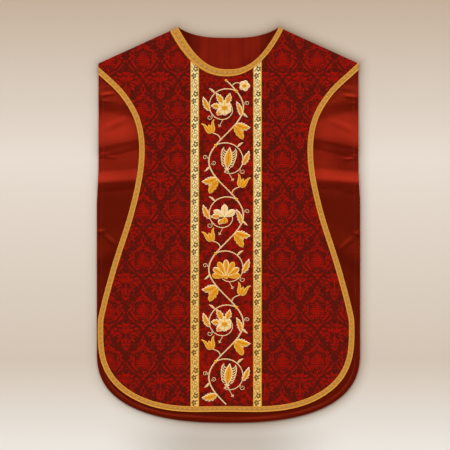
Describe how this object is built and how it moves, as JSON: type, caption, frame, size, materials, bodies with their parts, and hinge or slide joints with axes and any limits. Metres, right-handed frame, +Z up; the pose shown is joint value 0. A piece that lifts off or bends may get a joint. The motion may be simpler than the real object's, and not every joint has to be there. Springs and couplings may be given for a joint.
{
  "type": "fiddleback chasuble",
  "caption": "Sleeveless vestment laid flat: a fiddle-shaped damask front with an embroidered column and gold galloons, over a wide shield-shaped back with a satin lining.",
  "frame": {"origin": "on the surface that the garment lies on, under the middle of its outline", "axes": "+Z up from the surface, through the back and then the front; +Y from the hems to the neck; +X to the right of the front as seen from above"},
  "size_m": [0.702, 1.054, 0.0105],
  "materials": {
    "damask": "red on dark red silk damask",
    "satin": "red satin, glossy",
    "embroidered_ground": "red damask ground under satin-stitch embroidery",
    "patterned_galloon": "pale gold woven braid with dark scroll figures",
    "gold_galloon": "gold metal-thread braid"
  },
  "bodies": {
    "root": {"back_panel": "damask", "back_lining": "satin", "front_panel": "damask", "orphrey": "embroidered_ground", "orphrey_band_left": "patterned_galloon", "orphrey_band_right": "patterned_galloon", "edge_galloon": "gold_galloon", "neck_galloon": "gold_galloon"}
  },
  "joints": []
}
